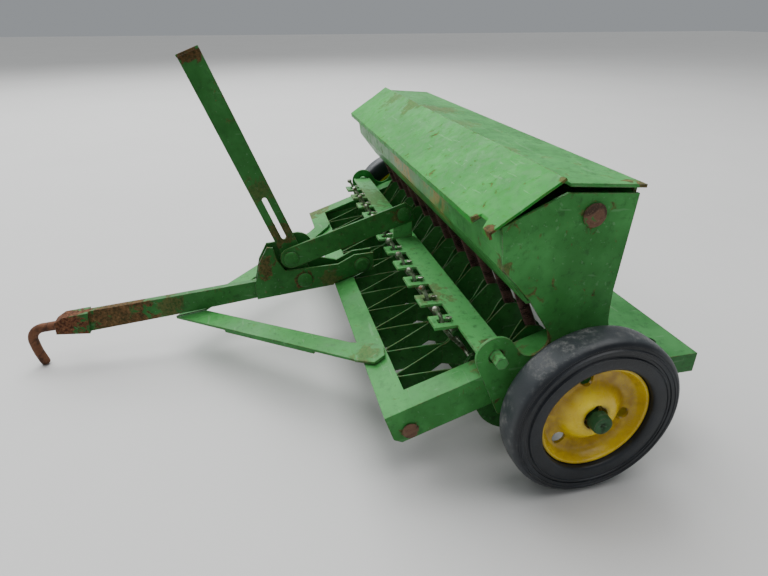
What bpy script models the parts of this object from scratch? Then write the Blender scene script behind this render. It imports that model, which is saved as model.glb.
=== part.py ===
"""A toy-size pressed-steel grain drill on two wheels, drawn by a tongue with a bent-wire hitch.

Axes: the drill is drawn towards -Y, its left side is at +X, and +Z is up. Lengths in the
constants are millimetres, measured from the point on the ground midway between the wheels.
"""

import math

import bmesh
import bpy
from mathutils import Matrix, Vector

MM = 0.001
NAME = "grain_drill"

# Stance: the whole model is shifted so that its box is centred on the origin.
SHIFT_Y = 72.19

# Sheet metal and clearances
SHEET = 1.0
GAP = 0.3

# Frame tray: a folded channel that rises to the rear
TRAY_HALF = 100.4
TRAY_FRONT = (-61.9, 25.6)
TRAY_SLOPE = math.radians(18.8)
TRAY_LENGTH = 72.0
TRAY_DEPTH = 12.0
TRAY_BAR = 9.2

# Side plates, outside the tray
PLATE_X = TRAY_HALF + GAP + SHEET / 2
EAR = (-26.8, 44.3)
EAR_RADIUS = 6.7
VALLEY = (-14.9, 48.3)
VALLEY_RADIUS = 5.6
HOPPER_RIVET = (-1.6, 88.0)

# Wheels
WHEEL_RADIUS = 28.5
TYRE_INNER = 108.3
TYRE_OUTER = 120.7
RIM_RADIUS = 18.1
AXLE_RADIUS = 2.2
HUB_BORE = 2.6

# Openers: twelve, evenly spaced, hinged on one rod at the front of the tray
OPENER_COUNT = 12
OPENER_PITCH = 16.0
ROD_IN_TRAY = (6.1, -8.3)
ROD_RADIUS = 1.6
DISC = (-9.0, 19.0)
DISC_RADIUS = 17.5
BLADE = 2.4
NECK_Y = -33.9
LUG_HOLE = (-28.4, 33.9)

# Seed tubes: from the hopper floor down into the opener sockets
TUBE_RADIUS = 1.8
TUBE_FOOT = (-8.3, 45.0)
TUBE_TOP_Z = 59.3
TUBE_LEAN = math.radians(23.6)

# Hopper and lid
HOPPER_FLOOR = 61.5
RIDGE = (-11.9, 98.9)
LID_FRONT = (-32.8, 85.1)
LID_HALF = 102.0
LID_NOTCH = (88.5, 97.5)

# Lift gear
LIFT_BAR_Z = 45.5
LIFT_BAR_FRONT = -32.8
LIFT_BAR_REAR = -23.0
LIFT_BAR_HALF = 99.9
TAB_LENGTH = 8.0
TAB_WIDTH = 8.0
MIDDLE_TAB_WIDTH = 6.0
HANGER_RADIUS = 0.75
LEVER_PIVOT = (-75.6, 29.6)
LEVER_TOP = (-112.5, 126.5)
LEVER_WIDTH = 8.8
LEVER_SHEET = 1.2
LINK_FRONT = (-81.1, 41.3)
LINK_REAR = (-29.6, 57.7)
LINK_WIDTH = 9.4
LINK_X = 3.9
WALL_X = 2.6
LINK_HOLE = 1.95
TONGUE_RIVET = (-48.9, 34.4)

# Braces, from the tongue to the corners of the tray
BRACE_START = (0.0, -128.0, 16.8)
BRACE_BEND = (60.8, -2.65)
BRACE_WIDTH = 8.8

# Rear board
BOARD_FRONT = 18.0
BOARD_REAR = 50.6
BOARD_TOP = 32.6
BOARD_DEPTH = 7.5
BOARD_HOLE = (89.5, 39.2)

GREEN = (0.085, 0.250, 0.090)
DARK_GREEN = (0.035, 0.130, 0.045)
YELLOW = (0.560, 0.330, 0.040)
RUBBER = (0.028, 0.031, 0.036)
RUST = (0.170, 0.075, 0.040)
BARE = (0.420, 0.400, 0.360)

# Takes a flat outline's (across, up) to (Y, Z), and its thickness to X
ALONG_X = Matrix(((0, 0, 1, 0), (1, 0, 0, 0), (0, 1, 0, 0), (0, 0, 0, 1)))
SHARP_ANGLE = math.radians(35)


def clear_scene():
    for item in list(bpy.data.objects):
        bpy.data.objects.remove(item, do_unlink=True)


def make_collection(name):
    group = bpy.data.collections.new(name)
    bpy.context.scene.collection.children.link(group)
    return group


def make_material(name, colour, roughness, metallic):
    made = bpy.data.materials.new(name)
    made.use_nodes = True
    shader = made.node_tree.nodes["Principled BSDF"]
    shader.inputs["Base Color"].default_value = (*colour, 1.0)
    shader.inputs["Roughness"].default_value = roughness
    shader.inputs["Metallic"].default_value = metallic
    made.diffuse_color = (*colour, 1.0)
    return made


clear_scene()
PARTS = make_collection(NAME)
CUTTERS = make_collection(NAME + "_cutters")
ROOT = bpy.data.objects.new(NAME + "_origin", None)
PARTS.objects.link(ROOT)
ROOT.location = (0.0, SHIFT_Y * MM, 0.0)

PAINT = make_material("green_paint", GREEN, 0.42, 0.0)
SHADED_PAINT = make_material("dark_green_paint", DARK_GREEN, 0.45, 0.0)
WHEEL_PAINT = make_material("yellow_paint", YELLOW, 0.40, 0.0)
TYRE_RUBBER = make_material("black_rubber", RUBBER, 0.75, 0.0)
RUSTY_STEEL = make_material("rusty_steel", RUST, 0.80, 0.35)
BARE_STEEL = make_material("bare_steel", BARE, 0.40, 0.90)


def arc(centre, radius, start, end, steps):
    """Points along a circle, from one angle to another, in degrees."""
    points = []
    for step in range(steps + 1):
        angle = math.radians(start + (end - start) * step / steps)
        points.append((centre[0] + radius * math.cos(angle), centre[1] + radius * math.sin(angle)))
    return points


def circle(centre, radius, steps=20):
    return arc(centre, radius, 0.0, 360.0 - 360.0 / steps, steps - 1)


def band(points, thickness):
    """The outline of a folded strip of sheet, centred on a run of points."""
    left = []
    right = []
    count = len(points)
    for index, point in enumerate(points):
        here = Vector(point)
        before = Vector(points[max(index - 1, 0)])
        after = Vector(points[min(index + 1, count - 1)])
        first = (here - before) if index else (after - here)
        second = (after - here) if index < count - 1 else first
        normal_a = Vector((-first.y, first.x)).normalized()
        normal_b = Vector((-second.y, second.x)).normalized()
        mitre = (normal_a + normal_b).normalized()
        reach = thickness / 2 / mitre.dot(normal_a)
        left.append(tuple(here + mitre * reach))
        right.append(tuple(here - mitre * reach))
    return left + right[::-1]


def new_object(name, mesh, matrix=Matrix.Identity(4)):
    """Put a mesh in the parts collection, under the root, at a place given in millimetres."""
    made = bpy.data.objects.new(name, mesh)
    PARTS.objects.link(made)
    made.parent = ROOT
    made.matrix_local = matrix
    return made


def shift(x, y, z):
    return Matrix.Translation(Vector((x, y, z)) * MM)


def finish(made, material):
    made.data.materials.clear()
    made.data.materials.append(material)
    return made


def smooth(made):
    """Shade a round piece smooth, apart from its hard edges."""
    made.data.shade_smooth()
    made.data.set_sharp_from_angle(angle=SHARP_ANGLE)
    return made


def relative(points, centre):
    """Points in a frame whose origin is the centre."""
    return [(across - centre[0], up - centre[1]) for across, up in points]


def mesh_from_curve(name, curve, matrix):
    """Turn a curve with caps into a welded mesh object."""
    guide = bpy.data.objects.new(name + "_guide", curve)
    PARTS.objects.link(guide)
    bpy.context.view_layer.update()
    mesh = bpy.data.meshes.new_from_object(guide.evaluated_get(bpy.context.evaluated_depsgraph_get()))
    bpy.data.objects.remove(guide, do_unlink=True)
    bpy.data.curves.remove(curve)
    shape = bmesh.new()
    shape.from_mesh(mesh)
    bmesh.ops.remove_doubles(shape, verts=shape.verts, dist=0.00001)
    bmesh.ops.recalc_face_normals(shape, faces=shape.faces)
    shape.to_mesh(mesh)
    shape.free()
    mesh.name = name
    return new_object(name, mesh, matrix)


def plate(name, loops, thickness, matrix=ALONG_X):
    """A flat outline, with any holes, given its thickness; by default it stands along X."""
    curve = bpy.data.curves.new(name, "CURVE")
    curve.dimensions = "2D"
    curve.fill_mode = "BOTH"
    curve.extrude = thickness / 2 * MM
    for loop in loops:
        spline = curve.splines.new("POLY")
        spline.points.add(len(loop) - 1)
        spline.use_cyclic_u = True
        for point, (across, up) in zip(spline.points, loop):
            point.co = (across * MM, up * MM, 0.0, 1.0)
    return mesh_from_curve(name, curve, matrix)


def wire(name, points, radius, resolution=2, matrix=Matrix.Identity(4)):
    """A round wire along a run of points."""
    curve = bpy.data.curves.new(name, "CURVE")
    curve.dimensions = "3D"
    curve.bevel_depth = radius * MM
    curve.bevel_resolution = resolution
    curve.use_fill_caps = True
    spline = curve.splines.new("POLY")
    spline.points.add(len(points) - 1)
    for point, place in zip(spline.points, points):
        point.co = (*(value * MM for value in place), 1.0)
    return mesh_from_curve(name, curve, matrix)


def box(name, low, high, matrix=Matrix.Identity(4)):
    """A rectangular block between two corners."""
    shape = bmesh.new()
    bmesh.ops.create_cube(shape, size=1.0)
    size = Vector(high) - Vector(low)
    middle = (Vector(high) + Vector(low)) / 2
    bmesh.ops.scale(shape, vec=size * MM, verts=shape.verts)
    bmesh.ops.translate(shape, vec=middle * MM, verts=shape.verts)
    mesh = bpy.data.meshes.new(name)
    shape.to_mesh(mesh)
    shape.free()
    return new_object(name, mesh, matrix)


def cylinder(name, radius, start, end, segments=20):
    """A round bar between two points."""
    axis = Vector(end) - Vector(start)
    shape = bmesh.new()
    bmesh.ops.create_cone(shape, cap_ends=True, segments=segments, radius1=radius * MM,
                          radius2=radius * MM, depth=axis.length * MM)
    mesh = bpy.data.meshes.new(name)
    shape.to_mesh(mesh)
    shape.free()
    middle = (Vector(start) + Vector(end)) / 2 * MM
    turn = Vector((0.0, 0.0, 1.0)).rotation_difference(axis).to_matrix().to_4x4()
    return new_object(name, mesh, Matrix.Translation(middle) @ turn)


def turned(name, profile, centre, side=1, segments=40, closed=True):
    """A profile of (x, radius) pairs turned about an axis along X; side -1 mirrors it."""
    mesh = bpy.data.meshes.new(name)
    shape = bmesh.new()
    verts = []
    for along, radius in profile:
        verts.append(shape.verts.new((radius * MM, 0.0, along * side * MM)))
    for first, second in zip(verts, verts[1:]):
        shape.edges.new((first, second))
    if closed:
        shape.edges.new((verts[-1], verts[0]))
    shape.to_mesh(mesh)
    shape.free()
    made = new_object(name, mesh, shift(0.0, centre[0], centre[1]) @ ALONG_X)
    screw = made.modifiers.new("turn", "SCREW")
    screw.angle = math.tau
    screw.steps = segments
    screw.render_steps = segments
    screw.use_merge_vertices = True
    screw.merge_threshold = 0.00001
    screw.use_normal_calculate = True
    bake(made)
    return smooth(made)


def bake(made):
    """Replace an object's mesh by its evaluated one, with its faces pointing out."""
    bpy.context.view_layer.update()
    mesh = bpy.data.meshes.new_from_object(made.evaluated_get(bpy.context.evaluated_depsgraph_get()))
    made.modifiers.clear()
    shape = bmesh.new()
    shape.from_mesh(mesh)
    bmesh.ops.recalc_face_normals(shape, faces=shape.faces)
    shape.to_mesh(mesh)
    shape.free()
    made.data = mesh


def apply_tools(target, tools, operation):
    """Join tools to a body, or cut them from it, and keep them as hidden wires."""
    for tool in tools:
        step = target.modifiers.new(tool.name, "BOOLEAN")
        step.operation = operation
        step.solver = "EXACT"
        step.object = tool
        PARTS.objects.unlink(tool)
        CUTTERS.objects.link(tool)
        tool.hide_render = True
        tool.display_type = "WIRE"
    return target


def join(target, *tools):
    return apply_tools(target, tools, "UNION")


def cut(target, *tools):
    return apply_tools(target, tools, "DIFFERENCE")


def copy_beside(source, name, x):
    """Another object that shares a mesh, moved sideways."""
    made = bpy.data.objects.new(name, source.data)
    PARTS.objects.link(made)
    made.parent = ROOT
    made.matrix_local = shift(x, 0.0, 0.0) @ source.matrix_local
    return made


def tray_point(along, up):
    """A point in the tray's own sloping frame, as (y, z)."""
    y = TRAY_FRONT[0] + along * math.cos(TRAY_SLOPE) - up * math.sin(TRAY_SLOPE)
    z = TRAY_FRONT[1] + along * math.sin(TRAY_SLOPE) + up * math.cos(TRAY_SLOPE)
    return (y, z)


TRAY_FRAME = shift(0.0, *TRAY_FRONT) @ Matrix.Rotation(TRAY_SLOPE, 4, "X")
ROD = tray_point(*ROD_IN_TRAY)


# ---------------------------------------------------------------- frame

def frame_tray():
    """C-shaped tray: a front bar and two side bars with flanges folded down."""
    body = box("frame_tray", (-TRAY_HALF, 0, -TRAY_DEPTH), (TRAY_HALF, TRAY_LENGTH, 0), TRAY_FRAME)
    inner = TRAY_HALF - SHEET
    hollow = box("tray_hollow", (-inner, SHEET, -TRAY_DEPTH - 1), (inner, TRAY_LENGTH + 1, -SHEET),
                 TRAY_FRAME)
    opening = box("tray_opening", (-TRAY_HALF + TRAY_BAR, TRAY_BAR, -2.0),
                  (TRAY_HALF - TRAY_BAR, TRAY_LENGTH + 1, 1.0), TRAY_FRAME)
    bore = cylinder("tray_rod_hole", ROD_RADIUS + GAP, (-110, *ROD), (110, *ROD))
    chamfer = Matrix.Rotation(TRAY_SLOPE + math.radians(45), 4, "X") @ shift(0.0, -2.6, 0.0)
    corner = box("tray_corner", (-110, -4.2, -4.2), (110, 4.2, 4.2),
                 shift(0.0, *tray_point(0.0, -TRAY_DEPTH)) @ chamfer)
    cut(body, hollow, opening, bore, corner)
    return finish(body, PAINT)


def opener_rod():
    """The rod that the openers hinge on, riveted over outside both tray flanges."""
    face = TRAY_HALF + GAP
    head = face + 1.2
    profile = [(-head, 0.0), (-head, 2.2), (-face - 0.4, 2.8), (-face, 2.8), (-face, ROD_RADIUS),
               (face, ROD_RADIUS), (face, 2.8), (face + 0.4, 2.8), (head, 2.2), (head, 0.0)]
    rod = turned("opener_rod", profile, ROD, segments=16, closed=False)
    return finish(rod, RUSTY_STEEL)


def side_plate_outline():
    outline = [(-24.2, 21.5)]
    outline += arc(EAR, EAR_RADIUS, 203, 19, 16)
    outline += arc(VALLEY, VALLEY_RADIUS, 200, 350, 10)
    outline += [(-10.2, 50.7), (-17.9, 62.4), (-27.6, 73.5), (-29.4, 86.5), (-10.5, 94.9), (12.0, 93.3)]
    outline += [(9.9, 62.3)]
    outline += arc((32.5, 56.0), 22.4, 180, 268, 8)
    outline += [(34.0, 33.2), (34.0, 24.0), (12.0, 17.5), (-8.0, 17.5)]
    return outline


def side_plate(name, side):
    """Hopper end, lift ear and axle bracket in one stamping."""
    axle_hole = circle((0.0, WHEEL_RADIUS), AXLE_RADIUS + GAP)
    loops = [side_plate_outline(), circle(EAR, 2.6), axle_hole, circle(HOPPER_RIVET, 1.9, 16)]
    made = plate(name, loops, SHEET, shift(side * PLATE_X, 0, 0) @ ALONG_X)
    return finish(made, PAINT)


def rear_board():
    """Foot board behind the hopper, a shallow pan open below and in front."""
    low = BOARD_TOP - BOARD_DEPTH
    body = box("rear_board", (-TRAY_HALF, BOARD_FRONT, low), (TRAY_HALF, BOARD_REAR, BOARD_TOP))
    inner = TRAY_HALF - SHEET
    hollow = box("board_hollow", (-inner, BOARD_FRONT - 1, low - 1),
                 (inner, BOARD_REAR - SHEET, BOARD_TOP - SHEET))
    holes = []
    for side in (-1, 1):
        x, y = side * BOARD_HOLE[0], BOARD_HOLE[1]
        holes.append(cylinder(f"board_hole_{side}", 2.4, (x, y, low), (x, y, BOARD_TOP + 5)))
    cut(body, hollow, *holes)
    return finish(body, PAINT)


# ---------------------------------------------------------------- hopper

def hopper():
    """Seed hopper and rear roof panel folded from one sheet, with an outlet over each tube."""
    floor = HOPPER_FLOOR
    trough = [(-28.6, 85.4), (-27.0, 73.3), (-18.2, floor), (9.2, floor), (11.3, 95.2)]
    body = plate("hopper", [band(trough, SHEET)], 2 * TRAY_HALF)
    roof = plate("hopper_roof", [band([(13.6, 95.3), (-10.4, 97.2)], SHEET)], 2 * LID_HALF)
    parts = [roof]
    for side in (-1, 1):
        middle = side * (TRAY_HALF - SHEET)
        parts.append(box(f"hopper_ear_{side}", (middle - 0.5, -6.5, 83.1), (middle + 0.5, 10.7, 92.4)))
    join(body, *parts)
    holes = []
    for x in opener_places():
        y, z = tube_point(HOPPER_FLOOR)
        holes.append(cylinder(f"outlet_{x:.0f}", 1.6, (x, y, z - 3), (x, y, z + 3), 12))
    rivets = cylinder("hopper_rivet_hole", 1.9, (-110, *HOPPER_RIVET), (110, *HOPPER_RIVET), 16)
    cut(body, rivets, *holes)
    return finish(body, PAINT)


def hopper_rivet(name, side):
    """Large flat-headed rivet that holds the hopper to its side plate."""
    outer = PLATE_X + SHEET / 2
    profile = [(97.6, 0.0), (97.6, 2.6), (98.5, 2.6), (98.5, 1.6), (outer + 0.2, 1.6),
               (outer + 0.2, 3.6), (outer + 0.9, 3.3), (outer + 1.2, 0.0)]
    made = turned(name, profile, HOPPER_RIVET, side, 16, closed=False)
    return finish(made, RUSTY_STEEL)


def front_lid():
    """Front roof panel, hinged along the ridge, with a lip and one torn front corner."""
    lip = (LID_FRONT[0] + 0.3, LID_FRONT[1] - 1.8)
    hinge = shift(0.0, *RIDGE)
    run = [(point[0] - RIDGE[0], point[1] - RIDGE[1]) for point in (RIDGE, LID_FRONT, lip)]
    body = plate("front_lid", [band(run, 0.8)], 2 * LID_HALF, hinge @ ALONG_X)
    notch = box("lid_notch", (LID_NOTCH[0], -23.0, -20.0), (LID_NOTCH[1], -18.6, -8.0), hinge)
    cut(body, notch)
    return finish(body, PAINT)


# ---------------------------------------------------------------- wheels

def rim_profile():
    nose = 118.2
    return [(108.6, HUB_BORE), (nose, HUB_BORE), (nose, 4.2), (117.5, 7.2), (115.6, 9.6), (114.3, 11.2),
            (114.1, 14.4), (115.3, 16.4), (117.4, 16.9), (nose, 17.4), (nose - 0.4, RIM_RADIUS),
            (109.2, RIM_RADIUS), (109.2, RIM_RADIUS - 1.0), (114.2, RIM_RADIUS - 1.0), (113.0, 14.8),
            (113.2, 10.7), (114.7, 8.8), (116.5, 6.4), (116.9, 3.9), (108.6, 3.9)]


def tyre_profile():
    bore = RIM_RADIUS + GAP
    bead = [(110.0, bore), (119.0, bore)]
    side = [(TYRE_OUTER - 0.5, bore + 1.4), (TYRE_OUTER, 22.5), (TYRE_OUTER - 0.3, 25.6)]
    shoulder = [(TYRE_OUTER - 1.3, 27.5), (TYRE_OUTER - 2.8, 28.3), (117.0, WHEEL_RADIUS)]
    tread = [(112.0, WHEEL_RADIUS), (TYRE_INNER + 2.8, 28.3), (TYRE_INNER + 1.3, 27.5)]
    back = [(TYRE_INNER + 0.3, 25.6), (TYRE_INNER, 22.5), (TYRE_INNER + 0.5, bore + 1.4)]
    return bead + side + shoulder + tread + back


def wheel_rim(name, side):
    """Pressed rim with a domed hub and three round holes."""
    body = turned(name, rim_profile(), (0.0, WHEEL_RADIUS), side, 24)
    holes = []
    for index in range(3):
        angle = math.radians(105 + 120 * index)
        y = 12.8 * math.cos(angle)
        z = WHEEL_RADIUS + 12.8 * math.sin(angle)
        holes.append(cylinder(f"{name}_hole_{index}", 1.9, (side * 111, y, z), (side * 118, y, z), 12))
    cut(body, *holes)
    return finish(body, WHEEL_PAINT)


def wheel_tyre(name, side):
    made = turned(name, tyre_profile(), (0.0, WHEEL_RADIUS), side, 32)
    return finish(made, TYRE_RUBBER)


def axle(name, side):
    """Stub axle riveted in the side plate, with a spacing collar and a headed end."""
    plate_in = PLATE_X - SHEET / 2 - GAP
    plate_out = PLATE_X + SHEET / 2 + GAP
    profile = [(98.8, 0.0), (98.8, 3.6), (plate_in, 3.6), (plate_in, AXLE_RADIUS), (plate_out, AXLE_RADIUS),
               (plate_out, 3.8), (108.0, 3.8), (108.0, AXLE_RADIUS), (118.5, AXLE_RADIUS), (118.5, 3.2),
               (121.4, 3.2), (122.0, 2.6), (122.0, 0.0)]
    made = turned(name, profile, (0.0, WHEEL_RADIUS), side, 16, closed=False)
    return finish(made, SHADED_PAINT)


# ---------------------------------------------------------------- tongue

def tongue_wall(name, side, top):
    outline = [(-97.6, 22.0), (-62.6, 25.5), (-62.0, 26.3), (-52.9, 29.4), (-43.5, 31.4)]
    outline += [(-43.5, 39.8), (-52.5, 39.4)]
    outline += top
    outline += [(-91.2, 46.8), (-95.0, 40.0), (-98.0, 28.4)]
    loops = [outline, circle(LEVER_PIVOT, 2.1, 16)]
    return plate(name, loops, SHEET, shift(side * WALL_X, 0, 0) @ ALONG_X)


def tongue():
    """Folded tongue: a flat front half crimped on the hitch wire, a forked rear half."""
    near_top = [(-60.0, 35.6), (-84.0, 34.8), (-87.2, 40.0), (-88.6, 46.4)]
    hump = arc((-77.5, 44.0), 6.8, 20, 150, 8)
    bar = [(-171.0, 14.6), (-135.0, 18.0), (-92.0, 22.8), (-92.0, 30.6)]
    bar += [(-99.0, 30.2), (-135.0, 27.0), (-169.0, 24.2)]
    body = plate("tongue", [bar], 3.0)
    crimp = [(-182.6, 15.7), (-169.5, 14.4), (-168.5, 24.2), (-178.6, 23.3), (-182.4, 20.9)]
    tip = plate("tongue_tip", [crimp], 6.4)
    near = tongue_wall("tongue_near_wall", 1, near_top)
    far = tongue_wall("tongue_far_wall", -1, [(-60.0, 35.6), (-68.5, 38.0), *hump])
    web_line = [(-97.0, 22.6), (-62.8, 26.0), (-62.2, 26.9), (-53.1, 30.0), (-43.5, 32.0)]
    web = plate("tongue_web", [band(web_line, SHEET)], 2 * WALL_X + SHEET)
    face = WALL_X + SHEET / 2
    rear_rivet = rivet("tongue_rivet", TONGUE_RIVET, -face, face, 1.8, 3.6)
    join(body, tip, near, far, web, rear_rivet)
    bore = cylinder("tongue_bore", 2.0 + GAP, (0, -190.0, 17.9), (0, -171.6, 19.6), 16)
    cut(body, bore)
    return finish(body, SHADED_PAINT)


def hitch_hook():
    """Bent wire hitch: it runs out of the tongue tip and turns down to the ground."""
    points = [(0, -172.2, 19.55), (0, -183.0, 18.55)]
    points += [(0, y, z) for y, z in arc((-187.6, 12.6), 5.5, 84, 184, 7)]
    points += [(0, -192.2, 6.0), (0, -190.8, 0.25)]
    made = wire("hitch_hook", points, 2.0, 3)
    foot = box("hook_foot", (-5, -200, -5), (5, -180, 0))
    cut(made, foot)
    return finish(smooth(made), RUSTY_STEEL)


def brace(name, side):
    """Strap with a folded edge, from under the tongue to its bend, then a pad on the tray's front bar."""
    lift = 2 * GAP + SHEET / 2
    start = Vector(BRACE_START)
    run = (TRAY_FRAME @ shift(*BRACE_BEND, lift)).translation / MM - start
    up = Vector((1.0, 0.0, 0.0)).cross(run).normalized()
    turn = Matrix((run.normalized(), up.cross(run.normalized()), up)).transposed().to_4x4()
    frame = Matrix.Translation(start * MM) @ turn
    half = BRACE_WIDTH / 2
    strap = box(name, (-9.0, -half, -SHEET / 2), (run.length + 8.0, half, SHEET / 2), frame)
    edge = -1.0 if (turn @ Vector((0, 1, 0))).x < 0 else 1.0
    sides = sorted((edge * (half - SHEET), edge * half))
    fold = box(name + "_fold", (26.0, sides[0], -1.6), (run.length - 15.0, sides[1], 0.0), frame)
    pad_outline = [(54.6, -2.9), (67.0, -2.9), (73.2, 3.6), (71.6, 8.0), (66.6, 8.9), (63.4, 7.2)]
    pad = plate(name + "_pad", [pad_outline], SHEET, TRAY_FRAME @ shift(0, 0, lift))
    past_bend = box(name + "_past_bend", (0, BRACE_BEND[1] + 0.25, -20), (110, 40, 20), TRAY_FRAME)
    beyond_middle = box(name + "_middle", (-40, -150, 0), (0.3, -100, 40))
    cut(strap, past_bend, beyond_middle)
    join(strap, fold, pad)
    finish(strap, PAINT)
    if side < 0:
        bake(strap)
        strap.data.transform(Matrix.Scale(-1, 4, (1, 0, 0)) @ strap.matrix_local)
        strap.data.flip_normals()
        strap.matrix_local = Matrix.Identity(4)
    return strap


# ---------------------------------------------------------------- lift gear

def hand_lever():
    """Slotted flat lever with a folded tip, hinged between the tongue's walls."""
    pivot = Vector(LEVER_PIVOT)
    run = Vector(LEVER_TOP) - pivot
    half = LEVER_WIDTH / 2
    length = run.length
    blade = [(12.0, half), (length, half), (length, -half), (12.0, -half)]
    outline = arc((0.0, 0.0), 3.9, 270, 90, 10) + blade
    slot = arc((40.6, 0.0), 1.1, -90, 90, 6) + arc((21.8, 0.0), 1.1, 90, 270, 6)
    lean = math.atan2(run.y, run.x)
    link_hole = Matrix.Rotation(-lean, 2) @ (Vector(LINK_FRONT) - pivot)
    frame = shift(0, *LEVER_PIVOT) @ ALONG_X @ Matrix.Rotation(lean, 4, "Z")
    loops = [outline, circle((0, 0), 2.1, 16), circle(tuple(link_hole), 1.9, 16), slot]
    body = plate("hand_lever", loops, LEVER_SHEET, frame)
    tip = box("lever_tip", (length - 1.0, -half, -0.6), (length, half, 2.6), frame)
    join(body, tip)
    return finish(body, SHADED_PAINT)


def rivet(name, point, inner, outer, shank, head):
    """Rivet across X: a flat head on the far side and a domed one on the near side."""
    profile = [(inner - 0.8, 0.0), (inner - 0.8, head - 0.4), (inner, head - 0.4), (inner, shank),
               (outer, shank), (outer, head), (outer + 0.5, head), (outer + 1.2, head * 0.7),
               (outer + 1.2, 0.0)]
    made = turned(name, profile, point, segments=16, closed=False)
    return finish(made, SHADED_PAINT)


def lift_link():
    """Flat link from the lever to the arm of the lift bar."""
    start = Vector(LINK_FRONT)
    run = Vector(LINK_REAR) - start
    half = LINK_WIDTH / 2
    end = [(run.length + 2.4, half), (run.length + 4.6, 1.4), (run.length + 4.0, -half)]
    outline = arc((0.0, 0.0), half, 270, 90, 10) + end
    holes = [circle((0, 0), 1.9, 16), circle((run.length, 0), LINK_HOLE, 16)]
    frame = shift(LINK_X, *LINK_FRONT) @ ALONG_X @ Matrix.Rotation(math.atan2(run.y, run.x), 4, "Z")
    made = plate("lift_link", [outline, *holes], SHEET, frame)
    return finish(made, SHADED_PAINT)


def tab_places():
    return [OPENER_PITCH * (index - 5) for index in range(OPENER_COUNT - 1)]


def lift_bar():
    """Cross bar with slotted tabs, an upright arm at its middle, and a pivot pin at each end."""
    low = LIFT_BAR_Z - SHEET / 2
    high = LIFT_BAR_Z + SHEET / 2
    y0, z0 = EAR
    body = box("lift_bar", (-LIFT_BAR_HALF, LIFT_BAR_FRONT - y0, low - z0),
               (LIFT_BAR_HALF, LIFT_BAR_REAR - y0, high - z0), shift(0.0, *EAR))
    tip = LIFT_BAR_FRONT - TAB_LENGTH
    added = bar_ends(low)
    slots = []
    for index, x in enumerate(tab_places()):
        half = TAB_WIDTH / 2 if x else MIDDLE_TAB_WIDTH / 2
        added.append(box(f"tab_{index}", (x - half, tip, low), (x + half, LIFT_BAR_FRONT + 2, high)))
        slots.append(box(f"slot_{index}", (x - 1.2, tip + 2.2, low - 1),
                         (x + 1.2, LIFT_BAR_FRONT - 0.6, high + 1)))
    arm = [(-34.0, low), (-25.0, low)] + arc(LINK_REAR, 4.3, 0, 180, 10)
    loops = [arm, circle(LINK_REAR, LINK_HOLE, 16)]
    added.append(plate("bar_arm", loops, SHEET, shift(WALL_X, 0, 0) @ ALONG_X))
    join(body, *added)
    cut(body, *slots)
    return finish(body, PAINT)


def bar_ends(low):
    """The lift bar's folded ends, and the pins that turn in the ears of the side plates."""
    made = []
    for side in (-1, 1):
        end = side * LIFT_BAR_HALF
        fold = end - side * SHEET
        made.append(box(f"bar_end_{side}", (min(end, fold), EAR[0] - 3.4, EAR[1] - 3.2),
                        (max(end, fold), EAR[0] + 3.4, low + 0.5)))
        made.append(cylinder(f"bar_pin_{side}", 2.2, (fold, *EAR), (side * 106.0, *EAR), 6))
    return made


def lift_hanger(name, x):
    """Headed wire that hangs in a tab and carries the lugs of the two openers beside it."""
    reach = OPENER_PITCH / 2 - GAP
    hinge = (LIFT_BAR_FRONT - TAB_LENGTH / 2, LIFT_BAR_Z)
    foot_y, foot_z = LUG_HOLE[0] - hinge[0], LUG_HOLE[1] - hinge[1]
    head_y, head_z = -1.0, 3.7
    place = shift(x, *hinge)
    run = [(0, head_y, head_z), (0, 0.2, 0.0), (0, 1.6, -4.0), (0, foot_y, foot_z)]
    stem = wire(name, run, HANGER_RADIUS, 1, place)
    ends = ((x - reach, *LUG_HOLE), (x + reach, *LUG_HOLE))
    cross = cylinder(name + "_cross", HANGER_RADIUS, *ends, 6)
    mesh = bpy.data.meshes.new(name + "_head")
    shape = bmesh.new()
    bmesh.ops.create_uvsphere(shape, u_segments=8, v_segments=4, radius=1.5 * MM)
    shape.to_mesh(mesh)
    shape.free()
    head = new_object(name + "_head", mesh, place @ shift(0, head_y, head_z))
    join(stem, cross, head)
    return finish(stem, BARE_STEEL)


# ---------------------------------------------------------------- openers

def opener_places():
    return [OPENER_PITCH * (index - (OPENER_COUNT - 1) / 2) for index in range(OPENER_COUNT)]


def tube_point(z):
    """The seed tube's axis at a height, as (y, z)."""
    return (TUBE_FOOT[0] - (z - TUBE_FOOT[1]) * math.tan(TUBE_LEAN), z)


def blade_outline():
    lug = [(-31.6, 31.3), (-29.3, 36.3), (-27.5, 36.3), (-25.2, 31.0)]
    boot = [(-22.6, 31.2), (-17.0, 37.5), (-11.8, 45.0), (-4.8, 45.2), (-1.0, 39.0)]
    disc = arc(DISC, DISC_RADIUS, 58, -170, 14)
    neck = NECK_Y - 0.8
    return [(neck, 31.2), *lug, *boot, *disc, (-30.0, 22.4), (neck, 23.4)]


def opener_arm(side):
    """One tine of an opener's fork, with the foot that is bored for the rod."""
    foot_x = 7.35 * side
    foot = [(-56.0, 17.6), (-54.6, 16.8), (-51.6, 17.0), (-51.6, 26.9), (-55.6, 25.6)]
    start = Vector((foot_x, -52.2))
    run = Vector((0.8 * side, NECK_Y + 0.2)) - start
    arm = [(0.0, 17.0), (run.length, 23.4), (run.length, 31.2), (0.0, 26.7)]
    upright = Matrix.Rotation(math.radians(90), 4, "X")
    turn = Matrix.Rotation(math.atan2(run.y, run.x), 4, "Z") @ upright
    return [plate(f"opener_foot_{side}", [foot], 0.8, shift(foot_x, 0, 0) @ ALONG_X),
            plate(f"opener_arm_{side}", [arm], 0.8, shift(start.x, start.y, 0) @ turn)]


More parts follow.
